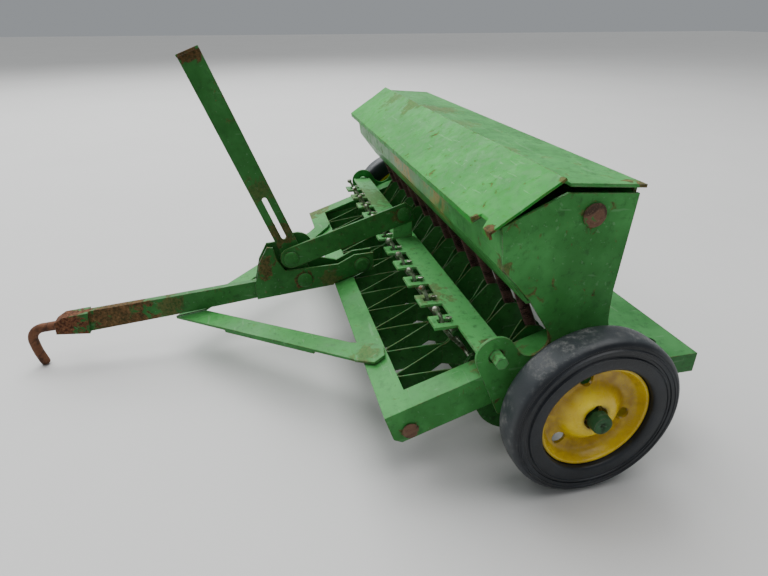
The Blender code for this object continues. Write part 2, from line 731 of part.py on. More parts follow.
def opener_body():
    """One opener at x = 0: forked arm, neck with a lifting lug, blade, and a socket for the tube."""
    loops = [relative(blade_outline(), ROD), relative(circle(LUG_HOLE, 1.35, 8), ROD)]
    body = plate("opener", loops, BLADE, shift(0, *ROD) @ ALONG_X)
    socket = cylinder("opener_socket", 2.9, (0, *tube_point(40.5)), (0, *tube_point(47.2)), 12)
    join(body, *opener_arm(-1), *opener_arm(1), socket)
    low, high = (0, *tube_point(43.0)), (0, *tube_point(50.0))
    bore = cylinder("opener_bore", TUBE_RADIUS + 0.45, low, high, 12)
    rod = cylinder("opener_rod_hole", ROD_RADIUS + GAP, (-12, *ROD), (12, *ROD), 12)
    cut(body, bore, rod)
    bake(body)
    return body


def openers():
    body = opener_body()
    for index, x in enumerate(opener_places()):
        finish(copy_beside(body, f"opener_{index + 1:02d}", x), SHADED_PAINT)
    bpy.data.objects.remove(body, do_unlink=True)


def seed_tubes():
    """Coil-spring seed tubes, as plain hollow tubes."""
    length = (TUBE_TOP_Z - TUBE_FOOT[1]) / math.cos(TUBE_LEAN)
    for index, x in enumerate(opener_places()):
        bore = TUBE_RADIUS - 0.7
        profile = [(bore, 0.0), (TUBE_RADIUS, 0.0), (TUBE_RADIUS, length), (bore, length)]
        made = ring_tube(f"seed_tube_{index + 1:02d}", profile, x)
        finish(made, RUSTY_STEEL)


def ring_tube(name, profile, x):
    """A tube turned about its own leaning axis, from (radius, height) pairs."""
    mesh = bpy.data.meshes.new(name)
    shape = bmesh.new()
    verts = [shape.verts.new((radius * MM, 0.0, height * MM)) for radius, height in profile]
    for index in range(len(verts)):
        shape.edges.new((verts[index], verts[(index + 1) % len(verts)]))
    shape.to_mesh(mesh)
    shape.free()
    made = new_object(name, mesh, shift(x, *TUBE_FOOT) @ Matrix.Rotation(TUBE_LEAN, 4, "X"))
    screw = made.modifiers.new("turn", "SCREW")
    screw.angle = math.tau
    screw.steps = 12
    screw.render_steps = 12
    screw.use_merge_vertices = True
    screw.merge_threshold = 0.00001
    bake(made)
    return smooth(made)


def main():
    frame_tray()
    opener_rod()
    rear_board()
    hopper()
    front_lid()
    for word, side in (("left", 1), ("right", -1)):
        side_plate(f"{word}_side_plate", side)
        hopper_rivet(f"{word}_hopper_rivet", side)
        axle(f"{word}_axle", side)
        wheel_rim(f"{word}_wheel_rim", side)
        wheel_tyre(f"{word}_tyre", side)
        brace(f"{word}_brace", side)
    tongue()
    hitch_hook()
    hand_lever()
    lift_link()
    wall = WALL_X + SHEET / 2 + GAP
    rivet("lever_pivot_rivet", LEVER_PIVOT, -wall, wall, 1.8, 3.5)
    link_out = LINK_X + SHEET / 2 + GAP
    rivet("link_front_rivet", LINK_FRONT, -0.9, link_out, 1.6, 3.3)
    rivet("link_rear_rivet", LINK_REAR, WALL_X - SHEET / 2 - GAP, link_out, 1.6, 3.3)
    lift_bar()
    for index, x in enumerate(tab_places()):
        lift_hanger(f"lift_hanger_{index + 1:02d}", x)
    openers()
    seed_tubes()


main()
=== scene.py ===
"""Looks for the pressed-steel toy grain drill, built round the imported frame.

Points are in millimetres from the ground midway between the wheels, as in the CAD source:
X to the left wheel, Y to the rear, Z up. place() turns them into the row frame's metres.
"""
import math

import bmesh
import bpy
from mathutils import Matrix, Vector, noise


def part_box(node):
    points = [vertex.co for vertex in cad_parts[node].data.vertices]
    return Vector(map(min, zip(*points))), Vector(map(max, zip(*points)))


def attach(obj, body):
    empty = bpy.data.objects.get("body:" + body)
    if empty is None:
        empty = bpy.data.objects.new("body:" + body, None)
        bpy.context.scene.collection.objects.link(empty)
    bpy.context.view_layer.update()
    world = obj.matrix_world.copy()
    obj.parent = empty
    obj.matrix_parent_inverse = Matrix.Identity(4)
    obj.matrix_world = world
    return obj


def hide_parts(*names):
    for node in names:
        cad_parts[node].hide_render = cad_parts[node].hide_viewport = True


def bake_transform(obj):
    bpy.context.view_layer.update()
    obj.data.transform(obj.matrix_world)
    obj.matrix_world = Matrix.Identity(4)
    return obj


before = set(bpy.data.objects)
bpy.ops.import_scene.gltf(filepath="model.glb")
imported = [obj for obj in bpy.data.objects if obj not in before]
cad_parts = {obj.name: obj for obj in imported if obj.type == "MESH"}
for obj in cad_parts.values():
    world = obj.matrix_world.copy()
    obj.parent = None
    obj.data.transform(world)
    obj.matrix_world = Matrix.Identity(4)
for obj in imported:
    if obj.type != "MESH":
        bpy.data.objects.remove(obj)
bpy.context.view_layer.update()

MM = 0.001
low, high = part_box("left_tyre")
AXLE_Y = (low.y + high.y) / 2
WHEEL_R = (high.z - low.z) / 2 / MM

# Stations shared with the CAD
ROD = (-53.45, 19.71)
LUG = (-28.4, 33.9)
TUBE_FOOT = (-8.3, 45.0)
TUBE_LEAN = math.radians(23.6)
RIDGE = (-11.9, 98.9)
LID_FRONT = (-32.8, 85.1)
HOPPER_RIVET = (-1.6, 88.0)
LEVER_PIVOT = (-75.6, 29.6)
LINK_FRONT = (-81.1, 41.3)
LINK_REAR = (-29.6, 57.7)
PITCH = 16.0
OPENERS = [PITCH * (index - 5.5) for index in range(12)]
TABS = [PITCH * (index - 5) for index in range(11)]

# The wheels' holes, the folded openers and the view
RIM_HOLES, RIM_HOLE_REACH, RIM_HOLE_RADIUS, RIM_HOLE_START = 3, 12.8, 2.25, 104
RIM_MARK_REACH, RIM_MARK_RADIUS = 3.3, 1.5
FORK_HALF, NECK_HALF = 7.35, 0.45
FORK_FRONT, FORK_REAR = -53.2, -33.6
DISC_CENTRE = (-9.0, 19.0)
CAMERA_AT = (229.66, -93.41, 138.75)
CAMERA_TURN, CAMERA_LIFT = math.radians(76.36), math.radians(26.83)
CAMERA_LENS, CAMERA_SENSOR = 25.55, 36.0
FLOOR_SIZE = 8.0
SKY_COLOUR, SKY_STRENGTH = (0.90, 0.95, 1.0, 1.0), 0.33


def place(x, y, z):
    return Vector((x * MM, y * MM + AXLE_Y, z * MM))


# ---------------------------------------------------------------- shader kit

class Shade:
    """A Principled material whose nodes are added in short calls."""

    def __init__(self, name):
        self.material = bpy.data.materials.new(name)
        self.material.use_nodes = True
        self.tree = self.material.node_tree
        self.out = self.tree.nodes["Principled BSDF"]
        self.where = self.add("ShaderNodeTexCoord").outputs["Object"]

    def add(self, kind, inputs=None, **settings):
        made = self.tree.nodes.new(kind)
        for key, value in settings.items():
            setattr(made, key, value)
        for key, value in (inputs or {}).items():
            self.feed(made.inputs[key], value)
        return made

    def feed(self, socket, value):
        if isinstance(value, bpy.types.NodeSocket):
            self.tree.links.new(value, socket)
        else:
            socket.default_value = value

    def noise(self, scale, detail=3.0, rough=0.55, stretch=None, warp=0.0):
        where = self.where
        if stretch:
            where = self.add("ShaderNodeMapping", {"Vector": where, "Scale": stretch}).outputs[0]
        made = self.add("ShaderNodeTexNoise", {"Vector": where, "Scale": scale, "Detail": detail,
                                               "Roughness": rough, "Distortion": warp})
        return made.outputs["Fac"]

    def ramp(self, value, start, end, low=0.0, high=1.0):
        made = self.add("ShaderNodeMapRange", {"Value": value, "From Min": start, "From Max": end,
                                               "To Min": low, "To Max": high})
        made.interpolation_type = "SMOOTHSTEP"
        return made.outputs["Result"]

    def math(self, kind, first, second=0.0):
        made = self.add("ShaderNodeMath", {0: first, 1: second}, operation=kind)
        return made.outputs[0]

    def mix(self, first, second, factor):
        made = self.add("ShaderNodeMix", data_type="RGBA")
        self.feed(made.inputs[0], factor)
        self.feed(made.inputs[6], first)
        self.feed(made.inputs[7], second)
        return made.outputs[2]

    def value(self, first, second, factor):
        made = self.add("ShaderNodeMix", data_type="FLOAT")
        self.feed(made.inputs[0], factor)
        self.feed(made.inputs[2], first)
        self.feed(made.inputs[3], second)
        return made.outputs[0]

    def spot(self, centre, reach, soft=0.5):
        """One near a point, fading out at its reach in millimetres."""
        made = self.add("ShaderNodeVectorMath", {0: self.where, 1: place(*centre)}, operation="DISTANCE")
        return self.ramp(made.outputs["Value"], reach * MM * soft, reach * MM, 1.0, 0.0)

    def edges(self, reach):
        """High where the surface turns sharply within a reach in millimetres."""
        bevel = self.add("ShaderNodeBevel", {"Radius": reach * MM}, samples=4)
        normal = self.add("ShaderNodeNewGeometry").outputs["Normal"]
        dot = self.add("ShaderNodeVectorMath", {0: bevel.outputs[0], 1: normal}, operation="DOT_PRODUCT")
        return self.ramp(dot.outputs["Value"], 0.72, 0.99, 1.0, 0.0)

    def upward(self):
        normal = self.add("ShaderNodeNewGeometry").outputs["Normal"]
        split = self.add("ShaderNodeSeparateXYZ", {0: normal})
        return self.ramp(split.outputs["Z"], 0.2, 0.9)

    def radius(self):
        """Distance from the axles' common axis, in millimetres."""
        hub = (0.0, AXLE_Y / MM, WHEEL_R)
        near = self.add("ShaderNodeVectorMath", {0: self.where, "Scale": 1.0 / MM}, operation="SCALE")
        out = self.add("ShaderNodeVectorMath", {0: near.outputs[0], 1: hub}, operation="SUBTRACT")
        across = (0.0, 1.0, 1.0)
        flat = self.add("ShaderNodeVectorMath", {0: out.outputs[0], 1: across}, operation="MULTIPLY")
        return self.add("ShaderNodeVectorMath", {0: flat.outputs[0]}, operation="LENGTH").outputs["Value"]

    def finish(self, colour, roughness, height=None, depth=0.0001, strength=0.5, bevel=0.0, metallic=0.0,
               specular=0.5):
        normal = None
        if bevel:
            normal = self.add("ShaderNodeBevel", {"Radius": bevel * MM}, samples=4).outputs[0]
        if height is not None:
            bump = self.add("ShaderNodeBump", {"Height": height, "Distance": depth, "Strength": strength})
            if normal is not None:
                self.feed(bump.inputs["Normal"], normal)
            normal = bump.outputs[0]
        self.feed(self.out.inputs["Base Color"], colour)
        self.feed(self.out.inputs["Roughness"], roughness)
        self.feed(self.out.inputs["Metallic"], metallic)
        self.out.inputs["Specular IOR Level"].default_value = specular
        if normal is not None:
            self.feed(self.out.inputs["Normal"], normal)
        return self.material


def rgb(red, green, blue):
    return (red, green, blue, 1.0)


RUST_DARK = rgb(0.045, 0.020, 0.012)
RUST = rgb(0.150, 0.062, 0.030)
RUST_PALE = rgb(0.290, 0.150, 0.080)
STEEL = rgb(0.300, 0.285, 0.255)
GRIME = rgb(0.018, 0.026, 0.014)


def paint(name, base, faded, chips=0.0, wear=0.5, spots=(), grime=0.5, rough=0.36, stains=()):
    """Old enamel: mottled, paler on upward faces (sun fade, plus painted top light), scratched, chipped at
    edges, rusted in places.
    """
    shade = Shade(name)
    cloud = shade.noise(55.0, 4.0, 0.6)
    fine = shade.noise(900.0, 5.0, 0.65)
    mottle = shade.noise(260.0, 4.0, 0.6, warp=0.6)
    body = shade.mix(base, faded, shade.ramp(cloud, 0.35, 0.72, 0.0, 0.75))
    # upward faces mixed toward the faded green: sun fade, and also painted light on the tops
    sun_fade_and_top_light = shade.math("MULTIPLY", shade.upward(), shade.ramp(mottle, 0.35, 0.7, 0.1, 0.5))
    body = shade.mix(body, faded, sun_fade_and_top_light)
    dark = shade.math("MULTIPLY", shade.ramp(shade.noise(420.0, 4.0, 0.7), 0.50, 0.72), grime)
    body = shade.mix(body, GRIME, dark)
    scratch = shade.ramp(shade.noise(24.0, 2.0, 0.5, stretch=(3.0, 26.0, 26.0)), 0.66, 0.70)
    crossing = shade.ramp(shade.noise(30.0, 2.0, 0.5, stretch=(24.0, 3.0, 16.0)), 0.685, 0.72)
    scratch = shade.math("MULTIPLY", shade.math("MAXIMUM", scratch, crossing), 0.20)
    body = shade.mix(body, shade.mix(faded, rgb(0.5, 0.55, 0.45), 0.4), scratch)
    for centre, reach, colour in stains:
        patch = shade.math("MULTIPLY", shade.spot(centre, reach, 0.35), shade.ramp(mottle, 0.40, 0.58))
        body = shade.mix(body, colour, shade.math("MULTIPLY", patch, 0.8))
    rim = shade.edges(0.55)
    worn = shade.math("MULTIPLY", rim, shade.ramp(mottle, 0.60 - 0.28 * wear, 0.74 - 0.28 * wear))
    flake = shade.ramp(shade.noise(330.0, 5.0, 0.62), 0.78 - 0.14 * chips, 0.80 - 0.14 * chips)
    rust = shade.math("MAXIMUM", worn, shade.math("MULTIPLY", flake, 0.85)) if chips else worn
    for centre, reach, share in spots:
        patch = shade.math("ADD", shade.spot(centre, reach, 0.1),
                           shade.ramp(mottle, 0.25, 0.75, -0.75, 0.35))
        rust = shade.math("MAXIMUM", rust, shade.ramp(patch, 0.15, 0.40, 0.0, share))
    tone = shade.mix(RUST_DARK, RUST, shade.ramp(fine, 0.35, 0.60))
    tone = shade.mix(tone, RUST_PALE, shade.ramp(fine, 0.58, 0.75, 0.0, 0.8))
    bright = shade.math("MULTIPLY", rim, shade.ramp(cloud, 0.46, 0.58))
    tone = shade.mix(tone, STEEL, shade.math("MULTIPLY", bright, 0.6))
    colour = shade.mix(body, tone, rust)
    gloss = shade.value(shade.ramp(mottle, 0.3, 0.7, rough - 0.06, rough + 0.14), 0.82, rust)
    height = shade.math("SUBTRACT", shade.math("MULTIPLY", shade.noise(150.0, 2.0), 0.5),
                        shade.math("MULTIPLY", rust, shade.ramp(fine, 0.3, 0.8, 0.2, 1.0)))
    return shade.finish(colour, gloss, height, 0.00022, 0.55, bevel=0.35, specular=0.12)


def rusty(name, dark=RUST_DARK, mid=RUST, pale=RUST_PALE, paint_left=None, share=0.0, rough=0.78):
    """Brown rust with pits, and traces of paint."""
    shade = Shade(name)
    fine = shade.noise(1100.0, 6.0, 0.7)
    patch = shade.noise(210.0, 4.0, 0.6, warp=0.8)
    colour = shade.mix(dark, mid, shade.ramp(patch, 0.36, 0.58))
    colour = shade.mix(colour, pale, shade.ramp(fine, 0.52, 0.74, 0.0, 0.75))
    if paint_left:
        colour = shade.mix(colour, paint_left, shade.ramp(patch, 0.62 - share, 0.70 - share))
    gloss = shade.ramp(fine, 0.3, 0.7, rough - 0.16, rough + 0.1)
    return shade.finish(colour, gloss, fine, 0.00025, 0.7, metallic=0.2, specular=0.3)


def bare_steel(name):
    shade = Shade(name)
    fine = shade.noise(1500.0, 4.0, 0.6)
    patch = shade.noise(500.0, 4.0, 0.6, warp=0.5)
    colour = shade.mix(rgb(0.36, 0.37, 0.30), rgb(0.13, 0.16, 0.10), shade.ramp(patch, 0.36, 0.58))
    colour = shade.mix(colour, RUST, shade.ramp(patch, 0.56, 0.68))
    gloss = shade.ramp(patch, 0.4, 0.65, 0.28, 0.6)
    return shade.finish(colour, gloss, fine, 0.0001, 0.4, metallic=0.75)


def rubber(name):
    shade = Shade(name)
    cloud = shade.noise(60.0, 4.0, 0.6)
    fine = shade.noise(1400.0, 4.0, 0.65)
    scuff = shade.noise(260.0, 8.0, 0.75)
    colour = shade.mix(rgb(0.009, 0.011, 0.014), rgb(0.020, 0.024, 0.030), shade.ramp(cloud, 0.35, 0.7))
    tread = shade.ramp(shade.radius(), 27.3, 28.3)
    streak = shade.ramp(shade.noise(430.0, 6.0, 0.72), 0.46, 0.64)
    dust = shade.math("MAXIMUM", shade.ramp(scuff, 0.58, 0.74, 0.0, 0.4),
                      shade.math("MULTIPLY", shade.math("MULTIPLY", tread, streak),
                                 shade.ramp(cloud, 0.36, 0.5)))
    dust = shade.math("MULTIPLY", dust, shade.ramp(fine, 0.35, 0.6, 0.3, 1.0))
    colour = shade.mix(colour, rgb(0.034, 0.040, 0.044), tread)
    colour = shade.mix(colour, rgb(0.190, 0.190, 0.180), shade.math("MULTIPLY", dust, 0.7))
    gloss = shade.value(shade.ramp(cloud, 0.3, 0.7, 0.34, 0.46), 0.85, dust)
    return shade.finish(colour, gloss, fine, 0.00012, 0.5, specular=0.35)


def wheel_paint(name):
    """Yellow enamel, left bright only on the hub's dome; painted shade turns it brown in the hollow round the
    dome and, more faintly, out to the lip.
    """
    shade = Shade(name)
    cloud = shade.noise(120.0, 4.0, 0.6)
    fine = shade.noise(900.0, 5.0, 0.7)
    mottle = shade.noise(330.0, 5.0, 0.65, warp=0.7)
    reach = shade.radius()
    # painted shade: the ring round the dome, darkest in the hollow, is mixed toward brown
    hollow_painted_shade = shade.math("MULTIPLY", shade.ramp(reach, 7.6, 11.5),
                        shade.ramp(reach, 14.6, 17.4, 1.0, 0.40))
    hollow_painted_shade = shade.math("MULTIPLY", hollow_painted_shade, shade.ramp(mottle, 0.25, 0.65, 0.55, 1.0))
    hub = shade.math("MULTIPLY", shade.ramp(reach, 3.6, 5.4, 1.0, 0.0),
                     shade.ramp(mottle, 0.35, 0.6, 0.3, 0.9))
    body = shade.mix(rgb(0.72, 0.50, 0.020), rgb(0.92, 0.70, 0.030), shade.ramp(cloud, 0.35, 0.7))
    body = shade.mix(body, rgb(0.26, 0.135, 0.008), shade.math("MULTIPLY", hollow_painted_shade, 0.86))
    body = shade.mix(body, rgb(0.10, 0.055, 0.018), hub)
    body = shade.mix(body, rgb(0.20, 0.10, 0.02),
                     shade.ramp(shade.noise(480.0, 5.0, 0.7), 0.60, 0.74, 0.0, 0.7))
    rim = shade.edges(0.6)
    rust = shade.math("MULTIPLY", rim, shade.ramp(mottle, 0.46, 0.60))
    colour = shade.mix(body, shade.mix(RUST, RUST_DARK, shade.ramp(fine, 0.4, 0.6)), rust)
    gloss = shade.value(shade.ramp(mottle, 0.3, 0.7, 0.20, 0.34), 0.8, rust)
    height = shade.math("SUBTRACT", shade.math("MULTIPLY", cloud, 0.4), rust)
    return shade.finish(colour, gloss, height, 0.0002, 0.5, specular=0.4)


GREEN = rgb(0.036, 0.185, 0.040)
GREEN_FADED = rgb(0.078, 0.335, 0.088)
DARK = rgb(0.022, 0.120, 0.024)
DARK_FADED = rgb(0.050, 0.205, 0.052)
OCHRE = rgb(0.330, 0.240, 0.070)

lid_paint = paint("lid_paint", rgb(0.018, 0.215, 0.024), rgb(0.026, 0.330, 0.034), chips=0.45, wear=0.75,
                  grime=0.28, rough=0.44, spots=[
    ((100.5, -32.4, 85.6), 3.6, 0.9), ((90.0, -32.5, 85.2), 3.4, 0.8), ((-40.0, -12.0, 98.9), 14.0, 0.45),
    ((-70.0, -14.0, 97.0), 14.0, 0.4), ((101.0, -12.5, 98.5), 3.5, 0.7)])
hopper_paint = paint("hopper_paint", GREEN, GREEN_FADED, chips=0.25, wear=0.7, grime=0.45, spots=[
    ((-30.0, -6.0, 97.0), 20.0, 0.45), ((10.0, -8.0, 97.0), 14.0, 0.35), ((101.0, 13.0, 95.4), 7.0, 0.8),
    ((60.0, -10.5, 97.5), 8.0, 0.35), ((101.0, -28.0, 74.0), 6.0, 0.6)], stains=[
    ((-5.0, -27.5, 79.0), 26.0, OCHRE), ((40.0, -27.5, 79.0), 18.0, OCHRE)])
side_paint = paint("side_paint", GREEN, GREEN_FADED, chips=0.42, wear=0.8, grime=0.35, spots=[
    ((101.5, -28.0, 74.0), 5.0, 0.6), ((101.5, -14.0, 48.0), 7.0, 0.7), ((101.5, -1.6, 88.0), 5.0, 0.8),
    ((-101.5, -1.6, 88.0), 5.0, 0.8), ((101.5, -26.8, 44.3), 4.5, 0.4)])
tray_paint = paint("tray_paint", GREEN, GREEN_FADED, chips=0.25, wear=0.6, grime=0.3, spots=[
    ((100.4, -53.4, 19.7), 5.0, 0.7), ((-100.0, -60.0, 25.0), 18.0, 0.6), ((96.0, -22.0, 38.5), 14.0, 0.45),
    ((100.4, -62.0, 20.0), 3.5, 0.6)])
# a paler copy of the green: the bar's more faded paint, plus painted light making up for the shade it sits in
bar_paint = paint("bar_paint", GREEN_FADED, rgb(0.110, 0.380, 0.120), chips=0.3, wear=0.85,
                  grime=0.5, spots=[
    ((60.0, -36.0, 45.5), 12.0, 0.5), ((-60.0, -36.0, 45.5), 30.0, 0.4), ((99.0, -27.0, 45.0), 8.0, 0.6)])
tongue_paint = paint("tongue_paint", DARK, DARK_FADED, chips=0.35, wear=0.8, grime=0.4, spots=[
    ((0.0, -180.0, 19.0), 17.0, 1.0), ((1.5, -156.0, 20.0), 20.0, 0.85), ((1.5, -135.0, 22.0), 10.0, 0.5),
    ((3.0, -94.0, 38.0), 9.0, 0.7), ((3.0, -75.6, 29.6), 6.5, 0.7), ((3.0, -64.0, 28.0), 8.0, 0.4)])
lever_paint = paint("lever_paint", DARK, DARK_FADED, chips=0.35, wear=0.95, grime=0.35, spots=[
    ((0.0, -112.0, 126.0), 9.0, 0.85), ((0.0, -84.0, 52.0), 9.0, 0.6), ((0.0, -92.0, 72.0), 9.0, 0.35)])
link_paint = paint("link_paint", DARK, DARK_FADED, chips=0.4, wear=0.7, grime=0.4, spots=[
    ((4.0, -31.0, 57.0), 6.0, 0.5)])
opener_paint = paint("opener_paint", DARK, DARK_FADED, chips=0.2, wear=0.9, grime=0.6, rough=0.42)
board_paint = paint("board_paint", rgb(0.032, 0.140, 0.036), rgb(0.062, 0.225, 0.068), chips=0.3, wear=0.7,
                    grime=0.4)
brace_paint = paint("brace_paint", GREEN, rgb(0.060, 0.285, 0.068), chips=0.3, wear=0.85,
                    grime=0.4, spots=[
    ((66.0, -60.0, 27.5), 9.0, 0.4)])
axle_paint = paint("axle_paint", rgb(0.020, 0.070, 0.026), rgb(0.045, 0.125, 0.050), chips=0.7,
                   wear=0.95, grime=0.7)
rust_metal = rusty("rust_metal")
rivet_rust = rusty("rivet_rust", dark=rgb(0.055, 0.034, 0.022), mid=rgb(0.165, 0.088, 0.056),
                   pale=rgb(0.300, 0.190, 0.130), paint_left=GREEN, share=0.03)
rivet_green = paint("rivet_green", DARK, DARK_FADED, chips=0.6, wear=0.9, grime=0.5)
spring_rust = rusty("spring_rust", dark=rgb(0.030, 0.013, 0.010), mid=rgb(0.120, 0.060, 0.048),
                    pale=rgb(0.250, 0.150, 0.120))
bright_metal = bare_steel("bright_metal")
tyre_rubber = rubber("tyre_rubber")
wheel_yellow = wheel_paint("wheel_yellow")


# ---------------------------------------------------------------- mesh kit

def mesh_object(name, shape):
    """Turn a bmesh in millimetres into an object in the row frame's metres, and free the bmesh."""
    bmesh.ops.recalc_face_normals(shape, faces=shape.faces)
    for vert in shape.verts:
        vert.co = place(*vert.co)
    mesh = bpy.data.meshes.new(name)
    shape.to_mesh(mesh)
    shape.free()
    made = bpy.data.objects.new(name, mesh)
    bpy.context.scene.collection.objects.link(made)
    return made


def new_piece(name, shape, material, body, replaced=(), sharp=35):
    """Turn a bmesh in millimetres into a piece that rides on a body and stands for CAD nodes."""
    bmesh.ops.remove_doubles(shape, verts=shape.verts, dist=0.0005)
    piece = mesh_object(name, shape)
    piece.data.shade_smooth()
    piece.data.set_sharp_from_angle(angle=math.radians(sharp))
    piece.data.materials.append(material)
    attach(piece, body)
    if replaced:
        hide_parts(*replaced)
    return piece


def turned_rings(shape, profile, centre, side, segments):
    """One ring of points about an axis along X for each (x, radius) pair."""
    rings = []
    for along, radius in profile:
        ring = []
        for index in range(segments):
            angle = math.tau * index / segments
            ring.append(shape.verts.new((side * along, centre[0] + radius * math.cos(angle),
                                         centre[1] + radius * math.sin(angle))))
        rings.append(ring)
    return rings


def join(shape, first, second):
    """Faces between two closed rings of points."""
    for index in range(len(first)):
        after = (index + 1) % len(first)
        shape.faces.new((first[index], first[after], second[after], second[index]))


def lathe(shape, profile, centre, side=1, segments=64):
    """A closed ring of (x, radius) pairs turned about an axis along X."""
    rings = turned_rings(shape, profile, centre, side, segments)
    for first, second in zip(rings, rings[1:] + rings[:1]):
        join(shape, first, second)
    return shape


def button(shape, profile, centre, side=1, segments=40):
    """An open (x, radius) profile turned about X and closed with flat ends."""
    rings = turned_rings(shape, profile, centre, side, segments)
    for first, second in zip(rings, rings[1:]):
        join(shape, first, second)
    shape.faces.new(rings[0])
    shape.faces.new(rings[-1][::-1])
    return shape


def rounded(profile, steps=3):
    """Cut the corners of an open profile, one time fewer than steps, for soft pressed shapes."""
    points = [Vector(point) for point in profile]
    for _ in range(steps - 1):
        fresh = [points[0]]
        for here, after in zip(points, points[1:]):
            fresh += [here.lerp(after, 0.25), here.lerp(after, 0.75)]
        points = fresh + [points[-1]]
    return [tuple(point) for point in points]


def sweep(shape, points, radius, sides=10):
    """A round wire along points; its radius may change from point to point."""
    path = [Vector(point) for point in points]
    radii = radius if isinstance(radius, list) else [radius] * len(path)
    tangent = (path[1] - path[0]).normalized()
    across = tangent.orthogonal().normalized()
    rings = []
    for index, point in enumerate(path):
        after = path[min(index + 1, len(path) - 1)]
        before = path[max(index - 1, 0)]
        fresh = (after - before).normalized()
        across = (across - fresh * across.dot(fresh)).normalized()
        up = fresh.cross(across)
        ring = []
        for step in range(sides):
            angle = math.tau * step / sides
            outward = across * math.cos(angle) + up * math.sin(angle)
            ring.append(shape.verts.new(point + outward * radii[index]))
        rings.append(ring)
    for first, second in zip(rings, rings[1:]):
        join(shape, first, second)
    shape.faces.new(rings[0][::-1])
    shape.faces.new(rings[-1])
    return shape


def strip(shape, rows, thickness):
    """A bent sheet: rows of points are joined into a surface, then given a thickness each way."""
    made = [[Vector(point) for point in row] for row in rows]
    normals = []
    for i, row in enumerate(made):
        line = []
        for j in range(len(row)):
            along = made[min(i + 1, len(made) - 1)][j] - made[max(i - 1, 0)][j]
            across = row[min(j + 1, len(row) - 1)] - row[max(j - 1, 0)]
            line.append(along.cross(across).normalized())
        normals.append(line)
    faces = []
    for side in (0.5, -0.5):
        faces.append([[shape.verts.new(point + normals[i][j] * thickness * side)
                       for j, point in enumerate(row)] for i, row in enumerate(made)])
    top, under = faces
    last_i, last_j = len(made) - 1, len(made[0]) - 1
    for i in range(last_i):
        for j in range(last_j):
            shape.faces.new((top[i][j], top[i + 1][j], top[i + 1][j + 1], top[i][j + 1]))
            shape.faces.new((under[i][j], under[i][j + 1], under[i + 1][j + 1], under[i + 1][j]))
    for i in range(last_i):
        for j in (0, last_j):
            shape.faces.new((top[i][j], top[i + 1][j], under[i + 1][j], under[i][j]))
    for j in range(last_j):
        for i in (0, last_i):
            shape.faces.new((top[i][j], top[i][j + 1], under[i][j + 1], under[i][j]))
    return shape


def slab(shape, outline, x, thickness, corner=0.15):
    """A flat (y, z) outline across X, with its edges eased."""
    half = thickness / 2
    rings = []
    for along, inset in ((-half, corner), (-half + corner, 0.0), (half - corner, 0.0), (half, corner)):
        ring = []
        count = len(outline)
        for index, point in enumerate(outline):
            here = Vector(point)
            back = (here - Vector(outline[index - 1])).normalized()
            ahead = (Vector(outline[(index + 1) % count]) - here).normalized()
            inward = Vector((-back.y - ahead.y, back.x + ahead.x))
            if inward.length > 0.001:
                inward.normalize()
            spot = here + inward * inset
            ring.append(shape.verts.new((x + along, spot.x, spot.y)))
        rings.append(ring)
    for first, second in zip(rings, rings[1:]):
        join(shape, first, second)
    shape.faces.new(rings[0][::-1])
    shape.faces.new(rings[-1])


def arc(centre, radius, start, end, steps):
    points = []
    for step in range(steps + 1):
        angle = math.radians(start + (end - start) * step / steps)
        points.append((centre[0] + radius * math.cos(angle), centre[1] + radius * math.sin(angle)))
    return points


# ---------------------------------------------------------------- wheels

def tyre(word, side):
    inner = 108.3
    face = [(119.2, 18.4), (119.8, 18.5), (120.2, 18.8), (120.45, 19.5), (120.6, 21.0), (120.62, 22.4)]
    inner_ridge = [(120.62, 22.6), (120.9, 22.75), (120.92, 23.0), (120.6, 23.15), (120.3, 23.3),
                   (120.28, 24.0)]
    outer_ridge = [(120.55, 24.15), (120.6, 24.5), (120.62, 25.2), (120.85, 25.35), (120.85, 25.6),
                   (120.5, 25.75), (120.25, 25.9), (120.2, 26.4)]
    shoulder = [(120.3, 26.55), (120.25, 26.85), (119.9, 27.4), (119.3, 27.9), (118.5, 28.2), (117.4, 28.36)]
    tread = [(116.0, 28.44), (114.5, 28.5), (113.0, 28.44), (111.6, 28.3)]
    back = [(110.7, 28.1), (109.8, 27.6), (109.0, 26.9), (inner + 0.3, 25.6), (inner, 22.5),
            (inner + 0.4, 19.6)]
    profile = face + inner_ridge + outer_ridge + shoulder + tread + back + [(109.4, 18.6), (110.0, 18.4)]
    shape = lathe(bmesh.new(), profile, (0.0, WHEEL_R), side, 128)
    new_piece(f"{word}_tyre_rubber", shape, tyre_rubber, f"{word}_wheel", [f"{word}_tyre"])


def rim(word, side):
    front = [(115.5, 2.7), (115.6, 3.7), (118.0, 3.8)]
    front += rounded([(118.4, 4.0), (118.45, 4.9), (118.0, 7.0), (116.8, 8.7), (115.6, 9.9), (114.9, 10.9),
                      (114.6, 11.9), (114.6, 14.6), (115.1, 15.9), (117.1, 16.8), (118.5, 17.2),
                      (118.35, 18.05)], 3)
    back = rounded([(109.2, 18.1), (109.1, 17.1), (114.0, 16.9), (113.6, 15.0), (113.6, 11.6), (114.3, 9.7),
                    (115.3, 7.0), (115.4, 3.9), (108.6, 3.9), (108.6, 2.7)], 3)
    shape = lathe(bmesh.new(), front + back, (0.0, WHEEL_R), side, 120)
    body = new_piece(f"{word}_rim_metal", shape, wheel_yellow, f"{word}_wheel",
                     [f"{word}_wheel_rim"], 40)
    for index in range(RIM_HOLES):
        angle = math.radians(RIM_HOLE_START + 360 // RIM_HOLES * index)
        cut_rim(body, RIM_HOLE_REACH * math.cos(angle), RIM_HOLE_REACH * math.sin(angle),
                RIM_HOLE_RADIUS, side)
    cut_rim(body, 0.0, RIM_MARK_REACH, RIM_MARK_RADIUS, side)


